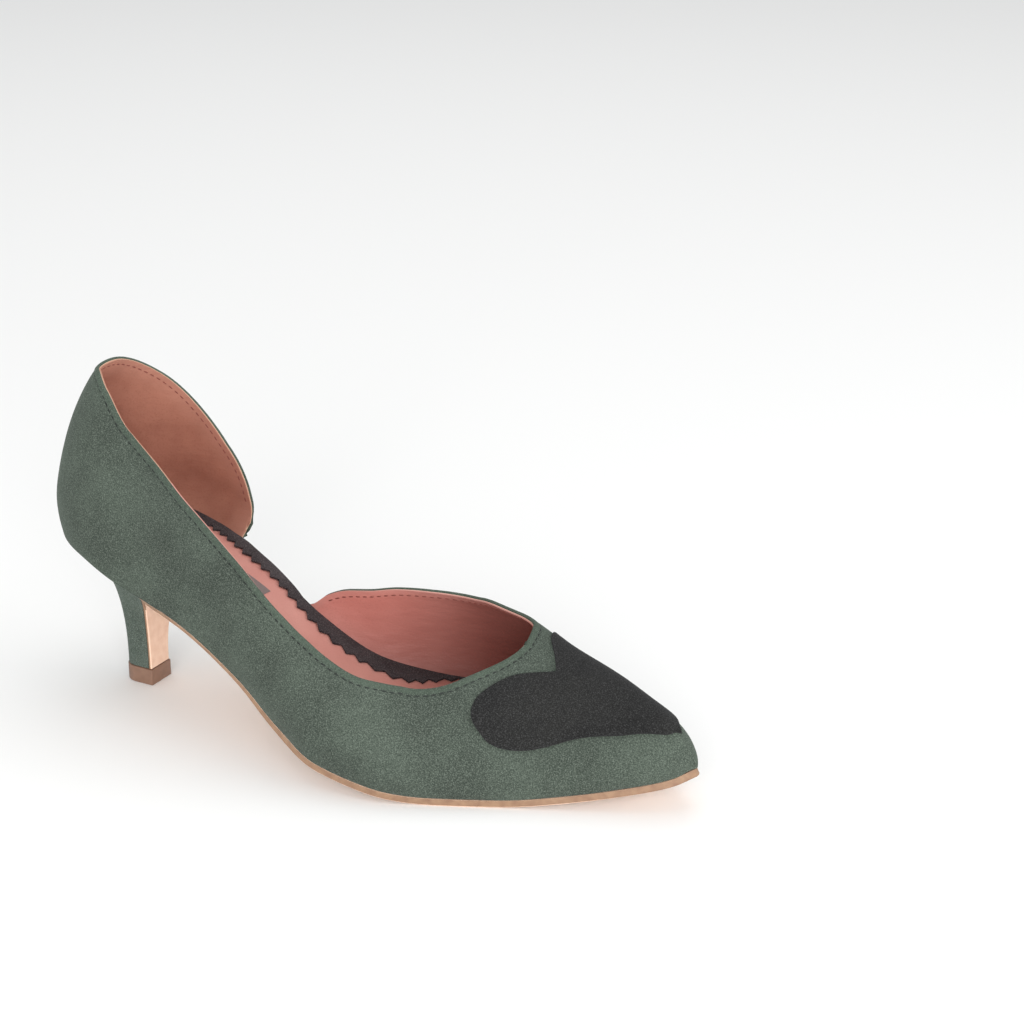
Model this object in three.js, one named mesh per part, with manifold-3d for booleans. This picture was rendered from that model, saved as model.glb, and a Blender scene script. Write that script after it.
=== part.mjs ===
// Low heel shoe, right foot, in millimetres: X runs to the toe, Y to the inner side, Z up.
// The origin is the middle of the heel tip's floor face.
import * as THREE from 'three';
import { mergeVertices } from 'three/addons/utils/BufferGeometryUtils.js';
import Module from 'manifold-3d';

// Main sizes of the last
const LENGTH = 241; // back of the counter to the toe, along the floor
const BALL_WIDTH = 81;
const SEAT_WIDTH = 57; // width over the heel seat and the waist
const SEAT_CENTRE = 42; // from the back to the middle of the seat's round
const SEAT_DEPTH = 39.2; // radius of the seat's round, along the shoe
const SEAT_RISE = 53.9; // how far the seat's back lies above the ball
const TOE_SPRING = 12.1; // how far the toe lifts above the ball
const INSTEP = 88; // height of a full rib over the seat
const TOE_SIDE = 2; // the toe's point, towards the inner side
const NOSE_LENGTH = 19; // the stretch over which the toe closes

// Upper
const WALL = 1.6;
const COLLAR_RISE = 58.5; // height of the counter above the seat, at the back
const VAMP_RISE = 40; // height of the vamp's inner edge
const THROAT = 173.6; // where the opening ends over the foot
const THROAT_START = 150; // where the outer edge starts to turn into the throat
const THROAT_LIP = 0.22; // the last of the turn, which the throat's edge takes straight across
const THROAT_BOW = { by: 2.2, turn: 0.7, reach: 25 }; // the throat's edge bows forward
const VAMP_TURN = 0.9; // the vamp's inner edge lies this far up its rib
const VAMP_TURN_START = 140;
const VAMP_TURN_REACH = 0.12; // rounds the edge off where it starts to turn
const QUARTER_END = 50.5; // front edge of the inner quarter, at the seat
const VAMP_START = 84; // where the vamp's inner edge leaves the insole
const BACK_HEIGHT = 74.8; // height of a full rib at the back
const BACK_FULL = 2.24;
const BACK_ROUND = 1.6;
const LEAN = 0.084; // the counter leans to the inner side by this much of its height
const COLLAR_TRAVEL = 0.6; // round the heel the collar's edge moves this far for each mm of its foot

// Heart overlay
const HEART_THICK = 0.8;

// Sole, insole and heel
const GAP = 0.3; // between pieces that meet on a curve
const SOLE = 2.5; // forepart of the outsole
const WAIST_SOLE = 1.3;
const BREAST_SOLE = 1.0; // outsole on the front of the heel
const SOLE_EDGE = 0.4; // bevel under the outsole's edge
const INSOLE = 1.9;
const WRAP = 0.6;
const WRAP_START = 28;
const WRAP_END = 140;
const TOOTH = 4.3; // pitch of the pinked edge
const TOOTH_DEPTH = 2.2;
const TIP_HEIGHT = 6;
const TIP_BACK = 22.8;
const TIP_FRONT = 35.8;
const TIP_WIDTH = 11.2;
const TIP_SIDE = -2.6; // the tip's middle, towards the outer side
const TIP_EDGE = 0.5; // bevel round the tip's foot
const COLUMN_INSET = 0.3; // from the tip's outline to the heel's
const LIP = 58; // front end of the heel's seat

const CLEARANCE = WALL + GAP;
const BED = SOLE + GAP; // height of the upper's lower edge at the ball

// Sections of the last from the seat to the toe. Widths are shares of the width named in
// the row, the ridge is a share of BALL_WIDTH, and the height is a share of INSTEP.
const LAST = [
  {
    along: 0.174, of: SEAT_WIDTH, outer: 0.521, inner: 0.525,
    ridge: -0.049, height: 1.0, full: 1.6, round: 1.9,
  },
  {
    along: 0.274, of: SEAT_WIDTH, outer: 0.56, inner: 0.412,
    ridge: -0.046, height: 0.882, full: 2.2, round: 2.1,
  },
  {
    along: 0.382, of: SEAT_WIDTH, outer: 0.618, inner: 0.318,
    ridge: -0.031, height: 0.739, full: 2.5, round: 2.2,
  },
  {
    along: 0.456, of: BALL_WIDTH, outer: 0.491, inner: 0.26,
    ridge: 0.033, height: 0.632, full: 2.45, round: 2.1,
  },
  {
    along: 0.531, of: BALL_WIDTH, outer: 0.553, inner: 0.372,
    ridge: 0.117, height: 0.577, full: 2.15, round: 1.9,
  },
  {
    along: 0.606, of: BALL_WIDTH, outer: 0.543, inner: 0.467,
    ridge: 0.191, height: 0.53, full: 1.9, round: 1.8,
  },
  {
    along: 0.689, of: BALL_WIDTH, outer: 0.449, inner: 0.47,
    ridge: 0.236, height: 0.486, full: 1.7, round: 1.7,
  },
  {
    along: 0.772, of: BALL_WIDTH, outer: 0.336, inner: 0.422,
    ridge: 0.218, height: 0.399, full: 1.5, round: 1.7,
  },
  {
    along: 0.855, of: BALL_WIDTH, outer: 0.227, inner: 0.333,
    ridge: 0.147, height: 0.326, full: 1.4, round: 1.8,
  },
  {
    along: 0.929, of: BALL_WIDTH, outer: 0.127, inner: 0.218,
    ridge: 0.059, height: 0.244, full: 1.35, round: 1.85,
  },
  {
    along: 0.979, of: BALL_WIDTH, outer: 0.06, inner: 0.135,
    ridge: -0.012, height: 0.192, full: 1.4, round: 1.9,
  },
  {
    along: 1.0, of: BALL_WIDTH, outer: 0.017, inner: 0.089,
    ridge: -0.037, height: 0.165, full: 1.4, round: 1.9,
  },
];

// Height of the upper's lower edge: shares of SEAT_RISE and of TOE_SPRING above the ball
const BED_LINE = [
  { along: 0.0, arch: 1.0, spring: 0 },
  { along: 0.083, arch: 0.96, spring: 0 },
  { along: 0.174, arch: 0.829, spring: 0 },
  { along: 0.274, arch: 0.696, spring: 0 },
  { along: 0.382, arch: 0.449, spring: 0 },
  { along: 0.456, arch: 0.249, spring: 0 },
  { along: 0.531, arch: 0.119, spring: 0 },
  { along: 0.606, arch: 0.048, spring: 0 },
  { along: 0.685, arch: 0, spring: 0 },
  { along: 0.765, arch: 0, spring: 0 },
  { along: 0.855, arch: 0, spring: 0.223 },
  { along: 0.929, arch: 0, spring: 0.529 },
  { along: 0.979, arch: 0, spring: 0.793 },
  { along: 1.0, arch: 0, spring: 1.0 },
];

// Top edge of the outer side, above the lower edge, as a share of COLLAR_RISE
const OUTER_EDGE = [
  { along: 0.076, rise: 1.032 },
  { along: 0.1, rise: 1.053 },
  { along: 0.13, rise: 1.018 },
  { along: 0.174, rise: 0.878 },
  { along: 0.23, rise: 0.792 },
  { along: 0.286, rise: 0.72 },
  { along: 0.39, rise: 0.67 },
  { along: 0.494, rise: 0.6 },
  { along: 0.581, rise: 0.518 },
  { along: 0.656, rise: 0.515 },
];

// Inner edge of the vamp, above the lower edge, as a share of VAMP_RISE
const VAMP_EDGE = [
  { along: 0.349, rise: 0 },
  { along: 0.382, rise: 0.22 },
  { along: 0.415, rise: 0.42 },
  { along: 0.456, rise: 0.61 },
  { along: 0.498, rise: 0.765 },
  { along: 0.548, rise: 0.87 },
  { along: 0.602, rise: 0.94 },
  { along: 0.656, rise: 1.05 },
];

// Swell of the wall over its lower edge, and the height it is reached at
const SWELL = { fore: 3.1, outer: 1.0, inner: 6.5, back: 3.0 };
const SWELL_HEIGHT = { fore: 16.4, outer: 12.5, inner: 12.5, back: 18.9 };

// The heart seen from above, from the cleft to the tip: shares of LENGTH and of BALL_WIDTH
const OUTER_LOBE = [
  { along: 0.784, aside: 0.062 },
  { along: 0.759, aside: 0.004 },
  { along: 0.738, aside: -0.06 },
  { along: 0.721, aside: -0.146 },
  { along: 0.712, aside: -0.215 },
  { along: 0.715, aside: -0.267 },
  { along: 0.732, aside: -0.289 },
  { along: 0.754, aside: -0.289 },
  { along: 0.797, aside: -0.235 },
  { along: 0.859, aside: -0.133 },
  { along: 0.905, aside: -0.082 },
  { along: 0.93, aside: -0.057 },
  { along: 0.959, aside: -0.037 },
  { along: 0.97, aside: -0.025 },
  { along: 0.979, aside: 0.0 },
];
const INNER_LOBE = [
  { along: 0.784, aside: 0.062 },
  { along: 0.77, aside: 0.13 },
  { along: 0.748, aside: 0.22 },
  { along: 0.741, aside: 0.31 },
  { along: 0.75, aside: 0.38 },
  { along: 0.775, aside: 0.41 },
  { along: 0.81, aside: 0.39 },
  { along: 0.855, aside: 0.315 },
  { along: 0.9, aside: 0.225 },
  { along: 0.95, aside: 0.115 },
  { along: 0.979, aside: 0.03 },
];

// The heel from its tip to its seat. At the back: share of the way out and up. At the front
// face: share of the way ahead and up. Wide is the share of the seat's extra width.
const HEEL = [
  { out: 0, rise: 0, ahead: 0, up: 0, wide: 0 },
  { out: 0, rise: 0.15, ahead: 0, up: 0.183, wide: 0 },
  { out: 0.03, rise: 0.285, ahead: 0.013, up: 0.402, wide: 0.035 },
  { out: 0.09, rise: 0.415, ahead: 0.042, up: 0.566, wide: 0.09 },
  { out: 0.18, rise: 0.54, ahead: 0.088, up: 0.716, wide: 0.17 },
  { out: 0.33, rise: 0.645, ahead: 0.16, up: 0.852, wide: 0.32 },
  { out: 0.52, rise: 0.75, ahead: 0.25, up: 0.945, wide: 0.5 },
  { out: 0.68, rise: 0.815, ahead: 0.39, up: 0.995, wide: 0.67 },
  { out: 0.84, rise: 0.88, ahead: 0.58, up: 1.012, wide: 0.82 },
  { out: 0.97, rise: 0.93, ahead: 0.83, up: 1.008, wide: 0.95 },
  { out: 1, rise: 1, ahead: 1, up: 1, wide: 1 },
];

// Width of the wrap on the insole, in shares of BALL_WIDTH
const WRAP_WIDTH = [
  { along: 0.116, width: 0.05 },
  { along: 0.18, width: 0.055 },
  { along: 0.25, width: 0.055 },
  { along: 0.32, width: 0.046 },
  { along: 0.365, width: 0.06 },
  { along: 0.405, width: 0.085 },
  { along: 0.456, width: 0.092 },
  { along: 0.49, width: 0.108 },
  { along: 0.51, width: 0.1 },
  { along: 0.53, width: 0.07 },
  { along: 0.548, width: 0.038 },
  { along: 0.566, width: 0.015 },
  { along: 0.581, width: 0.01 },
];

const mix = (a, b, t) => a + (b - a) * t;
const clamp = (v, low, high) => Math.min(Math.max(v, low), high);
const smooth = (t) => t * t * (3 - 2 * t);
const shareAt = (v, from, to) => clamp((v - from) / (to - from), 0, 1);

// A smooth curve through a table's column that never overshoots its rows
function curve(rows, value) {
  const xs = rows.map((row) => row.along * LENGTH);
  const ys = rows.map(value);
  const rises = xs.slice(1).map((x, i) => (ys[i + 1] - ys[i]) / (x - xs[i]));
  const slopes = xs.map((x, i) => {
    if (i === 0 || i === xs.length - 1) return 0;
    const before = rises[i - 1];
    const after = rises[i];
    return before * after <= 0 ? 0 : (2 * before * after) / (before + after);
  });
  return (x) => {
    const at = clamp(x, xs[0], xs[xs.length - 1]);
    let i = 0;
    while (i < xs.length - 2 && at > xs[i + 1]) i += 1;
    const step = xs[i + 1] - xs[i];
    const t = (at - xs[i]) / step;
    const left = ys[i] * (1 + 2 * t) + slopes[i] * step * t;
    const right = ys[i + 1] * (3 - 2 * t) - slopes[i + 1] * step * (1 - t);
    return left * (1 - t) ** 2 + right * t ** 2;
  };
}

const outerWidth = curve(LAST, (row) => row.outer * row.of);
const innerWidth = curve(LAST, (row) => row.inner * row.of);
const ridgeSide = curve(LAST, (row) => row.ridge * BALL_WIDTH);
const ribHeight = curve(LAST, (row) => row.height * INSTEP);
const ribFull = curve(LAST, (row) => row.full);
const ribRound = curve(LAST, (row) => row.round);
const bedHeight = curve(BED_LINE, (row) => BED + row.arch * SEAT_RISE + row.spring * TOE_SPRING);
const outerEdge = curve(OUTER_EDGE, (row) => row.rise * COLLAR_RISE);
const vampEdge = curve(VAMP_EDGE, (row) => row.rise * VAMP_RISE);
const wrapWidth = curve(WRAP_WIDTH, (row) => row.width * BALL_WIDTH);

const OUTER = -1;
const INNER = 1;

// How far the toe is still open at x: 1 before the nose, 0 at its point
function noseOpen(x, early, late) {
  const run = shareAt(x, LENGTH - NOSE_LENGTH, LENGTH);
  return (1 - run ** early) ** (1 / late);
}

const ridgeAt = (x) => mix(TOE_SIDE, ridgeSide(x), noseOpen(x, 2.6, 2));
const sideAt = (side, x) => {
  const width = side === OUTER ? outerWidth(x) : innerWidth(x);
  return mix(TOE_SIDE, side * width, noseOpen(x, 2.6, 2));
};

// A station is a place along the shoe: 0 at the back, 1 at the seat's middle, 2 at the toe
const stationOf = (x) => 1 + (x - SEAT_CENTRE) / (LENGTH - SEAT_CENTRE);
const stationX = (station) => mix(SEAT_CENTRE, LENGTH, Math.max(station - 1, 0));

// The rib's root on the ridge's line, and its foot on the lower edge
function ribEnds(side, station) {
  const x = stationX(station);
  const root = new THREE.Vector2(x, ridgeAt(x));
  const angle = Math.min(station, 1) * Math.PI / 2;
  const foot = new THREE.Vector2(
    x - SEAT_DEPTH * Math.cos(angle),
    mix(root.y, sideAt(side, x), Math.sin(angle)),
  );
  if (station >= 1) foot.x = x;
  return { root, foot };
}

// The way out of the shoe at a foot, seen from above
function outward(side, station) {
  if (station === 0) return new THREE.Vector2(-1, 0);
  const before = ribEnds(side, Math.max(station - 1e-3, 0)).foot;
  const after = ribEnds(side, Math.min(station + 1e-3, 2 - 1e-6)).foot;
  const run = after.sub(before).normalize();
  return new THREE.Vector2(-side * run.y, side * run.x);
}

// The rib's sizes: they change from the back round to the side, and along the shoe
function ribSizes(side, station) {
  const x = stationX(station);
  const round = Math.sin(Math.min(station, 1) * Math.PI / 2) ** 2;
  const open = noseOpen(x, 3, 2.2);
  const rear = smooth(1 - shareAt(x, 50, 110));
  const heelSwell = side === OUTER ? SWELL.outer : SWELL.inner;
  const swell = mix(SWELL.fore * mix(0.25, 1, open), heelSwell, rear);
  const swellHeight = mix(SWELL_HEIGHT.fore, SWELL_HEIGHT.outer, rear);
  return {
    height: mix(BACK_HEIGHT, ribHeight(x) * open, round),
    full: mix(BACK_FULL, ribFull(x), round),
    round: mix(BACK_ROUND, ribRound(x), round),
    swell: mix(SWELL.back, swell, round),
    swellHeight: mix(SWELL_HEIGHT.back, swellHeight, round),
    lean: LEAN * smooth(1 - shareAt(x, 40, 130)),
  };
}

// A point of the upper's outer face, up its rib
function facePoint(side, station, up) {
  const { root, foot } = ribEnds(side, station);
  const sizes = ribSizes(side, station);
  const share = sizes.height > 0 ? clamp(up / sizes.height, 0, 1) : 1;
  const reach = (1 - share ** sizes.full) ** (1 / sizes.round);
  const swollen = sizes.swell * (1 - (1 - clamp(up / sizes.swellHeight, 0, 1)) ** 2) * reach;
  const out = outward(side, station);
  return new THREE.Vector3(
    mix(root.x, foot.x, reach) + out.x * swollen,
    mix(root.y, foot.y, reach) + out.y * swollen + sizes.lean * up,
    bedHeight(foot.x) + up,
  );
}

// A rib's turn is how far round it a height lies: 0 at its foot, a quarter turn on the ridge
const RIDGE_TURN = Math.PI / 2;
const turnOf = (share) => Math.asin(clamp(share, 0, 1));

// From the throat forward the wall goes right over the foot
const isClosed = (station) => station > THROAT_STATION - 1e-6;

// Height of the outer edge above the foot of its rib at x
function outerRise(x) {
  const along = x < SEAT_CENTRE ? mix(SEAT_CENTRE, x, COLLAR_TRAVEL) : x;
  return outerEdge(along) + bedHeight(along) - bedHeight(x);
}

// The lower of two turns, rounded off over the reach where they cross
function softMin(a, b, reach) {
  const share = clamp(0.5 + (b - a) / (2 * reach), 0, 1);
  return mix(b, a, share) - reach * share * (1 - share);
}

// How far round its rib the wall's edge lies
function edgeTurn(side, station) {
  const { height } = ribSizes(side, station);
  const x = ribEnds(side, station).foot.x;
  if (station === 0) return turnOf(COLLAR_RISE / height); // the two sides meet at the back
  if (side === OUTER) {
    const throat = RIDGE_TURN - THROAT_LIP;
    if (isClosed(station)) return throat;
    if (x <= THROAT_START) return turnOf(outerRise(x) / height);
    const start = turnOf(outerRise(THROAT_START) / ribHeight(THROAT_START));
    return mix(throat, start, Math.sqrt(1 - shareAt(x, THROAT_START, THROAT) ** 2));
  }
  if (isClosed(station)) return RIDGE_TURN;
  if (x <= QUARTER_END) {
    const back = SEAT_CENTRE - SEAT_DEPTH;
    return turnOf((COLLAR_RISE * (1 - shareAt(x, back, QUARTER_END)) ** 0.38) / height);
  }
  if (x <= VAMP_START) return 0;
  const left = (1 - shareAt(x, VAMP_TURN_START, THROAT) ** 2.4) ** (1 / 2.2);
  const turning = mix(RIDGE_TURN, turnOf(VAMP_TURN), left);
  return softMin(turnOf(vampEdge(x) / height), turning, VAMP_TURN_REACH * left);
}

// Places from a to b, closer together towards b
const easeTo = (a, b, count) => Array.from(
  { length: count },
  (_, i) => mix(a, b, Math.sin(((i + 1) / count) * Math.PI / 2)),
);
const spread = (a, b, count) => Array.from({ length: count }, (_, i) => mix(a, b, (i + 1) / count));

const THROAT_STATION = stationOf(THROAT);
const FORE_STATIONS = easeTo(THROAT, LENGTH, 15).map(stationOf);
const STATIONS = [
  0,
  ...spread(0, 1, 11),
  ...easeTo(SEAT_CENTRE, QUARTER_END, 5).map(stationOf),
  ...spread(QUARTER_END, VAMP_START, 5).map(stationOf),
  ...spread(VAMP_START, THROAT_START, 13).map(stationOf),
  ...easeTo(THROAT_START, THROAT, 7).map(stationOf),
  ...FORE_STATIONS,
];
const RIB_STEPS = 11;
const LIP_STEPS = 2;

// Points up a rib from one turn to another. Near the throat the outer side's ribs bow forward
function ribPoints(side, station, low, high, steps) {
  return Array.from({ length: steps + 1 }, (_, i) => {
    const turn = mix(low, high, i / steps);
    let place = station;
    if (side === OUTER && station > 1) {
      const x = stationX(station);
      const near = smooth(1 - shareAt(Math.abs(x - THROAT), 0, THROAT_BOW.reach));
      const bow = Math.sin(Math.PI * shareAt(RIDGE_TURN - turn, 0, THROAT_BOW.turn));
      place = stationOf(x + THROAT_BOW.by * near * bow);
    }
    return facePoint(side, place, Math.sin(turn) * ribSizes(side, place).height);
  });
}

// Triangles as one merged mesh, without the ones that shrank to nothing
function weld(points, faces) {
  const raw = new THREE.BufferGeometry();
  raw.setAttribute('position', new THREE.Float32BufferAttribute(points.flatMap((p) => [p.x, p.y, p.z]), 3));
  raw.setIndex(faces.flat());
  const merged = mergeVertices(raw, 1e-3);
  const index = [...merged.index.array];
  const kept = [];
  for (let i = 0; i < index.length; i += 3) {
    const [a, b, c] = index.slice(i, i + 3);
    if (a !== b && b !== c && a !== c) kept.push(a, b, c);
  }
  merged.setIndex(kept);
  return merged;
}

function signedVolume(geometry) {
  const place = geometry.attributes.position;
  const index = geometry.index.array;
  const corner = [new THREE.Vector3(), new THREE.Vector3(), new THREE.Vector3()];
  let sum = 0;
  for (let i = 0; i < index.length; i += 3) {
    corner.forEach((p, j) => p.fromBufferAttribute(place, index[i + j]));
    sum += corner[0].dot(corner[1].clone().cross(corner[2])) / 6;
  }
  return sum;
}

// Closed solids have their faces outwards
function faceOut(geometry) {
  if (signedVolume(geometry) < 0) {
    const index = geometry.index.array;
    for (let i = 0; i < index.length; i += 3) {
      [index[i], index[i + 1]] = [index[i + 1], index[i]];
    }
  }
  return geometry;
}

// The upper's outer face on both sides up to an edge, as one open sheet. At the closed
// stations the outer side goes on to the ridge.
function faceSheet(stations, edgeOf, closed) {
  const points = [];
  const faces = [];
  const addPatch = (side, places, low, highOf, steps) => {
    const start = points.length;
    const columns = steps + 1;
    for (const station of places) {
      points.push(...ribPoints(side, station, low, highOf(side, station), steps));
    }
    for (let i = 0; i < places.length - 1; i += 1) {
      for (let j = 0; j < steps; j += 1) {
        const a = start + i * columns + j;
        const b = a + columns;
        const upward = points[a].distanceTo(points[b + 1]);
        const downward = points[b].distanceTo(points[a + 1]);
        const pair = upward < downward
          ? [[a, b, b + 1], [a, b + 1, a + 1]]
          : [[a, b, a + 1], [b, b + 1, a + 1]];
        faces.push(...(side === OUTER ? pair : pair.map((face) => face.reverse())));
      }
    }
  };
  addPatch(OUTER, stations, 0, edgeOf, RIB_STEPS);
  addPatch(INNER, stations, 0, edgeOf, RIB_STEPS);
  addPatch(OUTER, closed, RIDGE_TURN - THROAT_LIP, () => RIDGE_TURN, LIP_STEPS);
  return weld(points, faces);
}

// A wall between two distances from a sheet, measured outwards
function wallOf(sheet, near, far) {
  const geometry = sheet.clone();
  geometry.computeVertexNormals();
  const place = geometry.attributes.position;
  const normal = geometry.attributes.normal;
  const layer = (distance) => Array.from({ length: place.count }, (_, i) => (
    new THREE.Vector3().fromBufferAttribute(normal, i).multiplyScalar(distance)
      .add(new THREE.Vector3().fromBufferAttribute(place, i))
  ));
  const points = [...layer(far), ...layer(near)];
  const index = geometry.index.array;
  const faces = [];
  const edges = new Map();
  for (let i = 0; i < index.length; i += 3) {
    const face = [index[i], index[i + 1], index[i + 2]];
    faces.push(face, [face[1] + place.count, face[0] + place.count, face[2] + place.count]);
    face.forEach((a, j) => edges.set(`${a} ${face[(j + 1) % 3]}`, [a, face[(j + 1) % 3]]));
  }
  for (const [a, b] of edges.values()) {
    if (edges.has(`${b} ${a}`)) continue;
    faces.push([b, a, a + place.count], [b, a + place.count, b + place.count]);
  }
  return faceOut(weld(points, faces));
}

// A solid through rings of points, closed at both ends
function loft(rings) {
  const count = rings[0].length;
  const faces = [];
  for (let i = 0; i < rings.length - 1; i += 1) {
    for (let j = 0; j < count; j += 1) {
      const a = i * count + j;
      const b = i * count + (j + 1) % count;
      faces.push([a, b, b + count], [a, b + count, a + count]);
    }
  }
  const last = (rings.length - 1) * count;
  for (let j = 1; j < count - 1; j += 1) {
    faces.push([0, j + 1, j], [last, last + j, last + j + 1]);
  }
  return faceOut(weld(rings.flat(), faces));
}

const wasm = await Module();
wasm.setup();

function toManifold(geometry) {
  return new wasm.Manifold(new wasm.Mesh({
    numProp: 3,
    vertProperties: new Float32Array(geometry.attributes.position.array),
    triVerts: new Uint32Array(geometry.index.array),
  }));
}

function fromManifold(solid) {
  const mesh = solid.getMesh();
  const geometry = new THREE.BufferGeometry();
  geometry.setAttribute('position', new THREE.BufferAttribute(new Float32Array(mesh.vertProperties), 3));
  geometry.setIndex([...mesh.triVerts]);
  return geometry;
}

function makeUpper() {
  return wallOf(faceSheet(STATIONS, edgeTurn, STATIONS.filter(isClosed)), -WALL, 0);
}

// The overlay is the heart's share of a skin over the vamp
function makeHeart() {
  const stations = [...spread(THROAT - 14, THROAT, 4).map(stationOf), ...FORE_STATIONS];
  const closedTurn = (side) => (side === OUTER ? RIDGE_TURN - THROAT_LIP : RIDGE_TURN);
  const skin = wallOf(faceSheet(stations, closedTurn, stations), GAP, GAP + HEART_THICK);
  const trace = (rows) => new THREE.CatmullRomCurve3(
    rows.map((row) => new THREE.Vector3(row.along * LENGTH, row.aside * BALL_WIDTH, 0)),
    false,
    'centripetal',
  ).getPoints(36).map((p) => new THREE.Vector2(p.x, p.y));
  const outline = [...trace(OUTER_LOBE), ...trace(INNER_LOBE).reverse().slice(1, -1)];
  const shape = new THREE.Shape(outline);
  const prism = new THREE.ExtrudeGeometry(shape, { depth: COLLAR_RISE, bevelEnabled: false });
  prism.deleteAttribute('normal');
  prism.deleteAttribute('uv');
  return fromManifold(toManifold(skin).intersect(toManifold(mergeVertices(prism, 1e-3))));
}

// A point inside the lower edge by a distance, at a height above it
function insidePoint(side, station, inset, up) {
  const { foot } = ribEnds(side, station);
  const out = outward(side, station);
  const x = foot.x - out.x * inset;
  return new THREE.Vector3(x, foot.y - out.y * inset, bedHeight(x) + up);
}

function makeInsole() {
  const ahead = spread(SEAT_CENTRE, LENGTH - NOSE_LENGTH / 2, 34).map(stationOf);
  return loft([...spread(0.03, 1, 11), ...ahead].map((station) => [
    insidePoint(OUTER, station, CLEARANCE, 0),
    insidePoint(INNER, station, CLEARANCE, 0),
    insidePoint(INNER, station, CLEARANCE, INSOLE),
    insidePoint(OUTER, station, CLEARANCE, INSOLE),
  ]));
}

// The wrap lies on the insole's margin, and folds down its edge where the side is cut out
function makeWrap() {
  const steps = 2 * Math.round((WRAP_END - WRAP_START) / TOOTH);
  const places = [WRAP_START, ...spread(WRAP_START, WRAP_END, steps)];
  const cutAt = (x) => {
    const cut = shareAt(x, QUARTER_END, QUARTER_END + 6) * (1 - shareAt(x, VAMP_START - 6, VAMP_START));
    return cut > 0.01 ? smooth(cut) : 0;
  };
  const ring = (x, i, leg) => {
    const round = Math.acos(clamp((SEAT_CENTRE - x) / SEAT_DEPTH, -1, 1)) / (Math.PI / 2);
    const station = x < SEAT_CENTRE ? round : stationOf(x);
    const tooth = Math.min(TOOTH_DEPTH, wrapWidth(x)) / 2;
    const width = wrapWidth(x) + (i % 2 ? tooth : -tooth);
    const outer = CLEARANCE - (cutAt(x) ? GAP + WRAP * cutAt(x) : 0);
    const inner = CLEARANCE - (cutAt(x) ? GAP : 0);
    const under = INSOLE + GAP;
    return [
      insidePoint(INNER, station, CLEARANCE + width, under + WRAP),
      insidePoint(INNER, station, outer, under + WRAP),
      insidePoint(INNER, station, outer, under - leg),
      insidePoint(INNER, station, inner, under - leg),
      insidePoint(INNER, station, inner, under),
      insidePoint(INNER, station, CLEARANCE + width, under),
    ];
  };
  return loft(places.flatMap((x, i) => {
    if (!cutAt(x)) return [ring(x, i, 0)];
    const rings = [ring(x, i, INSOLE + GAP)];
    if (!cutAt(places[i - 1])) rings.unshift(ring(x, i, 0));
    if (!cutAt(places[i + 1])) rings.push(ring(x, i, 0));
    return rings;
  }));
}

const columnBack = TIP_BACK + COLUMN_INSET;
const columnFront = TIP_FRONT - COLUMN_INSET - BREAST_SOLE - GAP;
const columnFoot = TIP_HEIGHT + GAP;

// The tip's outline from its round back to its flat front: place along, and share of width
function dOutline(back, front, width, share) {
  const round = width / 2;
  const turn = Math.min(share / 0.6, 1) * Math.PI / 2;
  const x = share < 0.6 ? back + round * (1 - Math.cos(turn)) : mix(back + round, front, (share - 0.6) / 0.4);
  return { x, half: round * Math.sin(turn) };
}

// The heel's face on one side: level from the tip to the seat, share from back to front
function heelPoint(side, row, share) {
  const foot = dOutline(columnBack, columnFront, TIP_WIDTH - 2 * COLUMN_INSET, share);
  const lipStation = stationOf(LIP);
  const seat = ribEnds(side, share * lipStation).foot;
  const seatZ = bedHeight(seat.x) - GAP;
  const ahead = mix(row.out, row.ahead, share);
  const up = mix(row.rise, row.up, share);
  const wide = mix(row.out, row.wide, share);
  return new THREE.Vector3(
    mix(foot.x, seat.x, ahead),
    mix(TIP_SIDE + side * foot.half, seat.y - side * GAP, wide),
    mix(columnFoot, seatZ, up),
  );
}

function makeHeel() {
  const shares = [...spread(0, 1, 16)];
  return loft(HEEL.map((row) => [
    heelPoint(OUTER, row, 0),
    ...shares.map((share) => heelPoint(INNER, row, share)),
    ...shares.map((share) => heelPoint(OUTER, row, share)).reverse(),
  ]));
}

function makeTip() {
  const ring = (inset, z) => {
    const width = TIP_WIDTH - 2 * inset;
    const at = (side, share) => {
      const p = dOutline(TIP_BACK + inset, TIP_FRONT - inset, width, share);
      return new THREE.Vector3(p.x, TIP_SIDE + side * p.half, z);
    };
    const shares = [...spread(0, 0.6, 8), 1];
    return [
      at(OUTER, 0),
      ...shares.map((share) => at(INNER, share)),
      ...shares.map((share) => at(OUTER, share)).reverse(),
    ];
  };
  return loft([ring(TIP_EDGE, 0), ring(0, TIP_EDGE), ring(0, TIP_HEIGHT)]);
}

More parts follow.
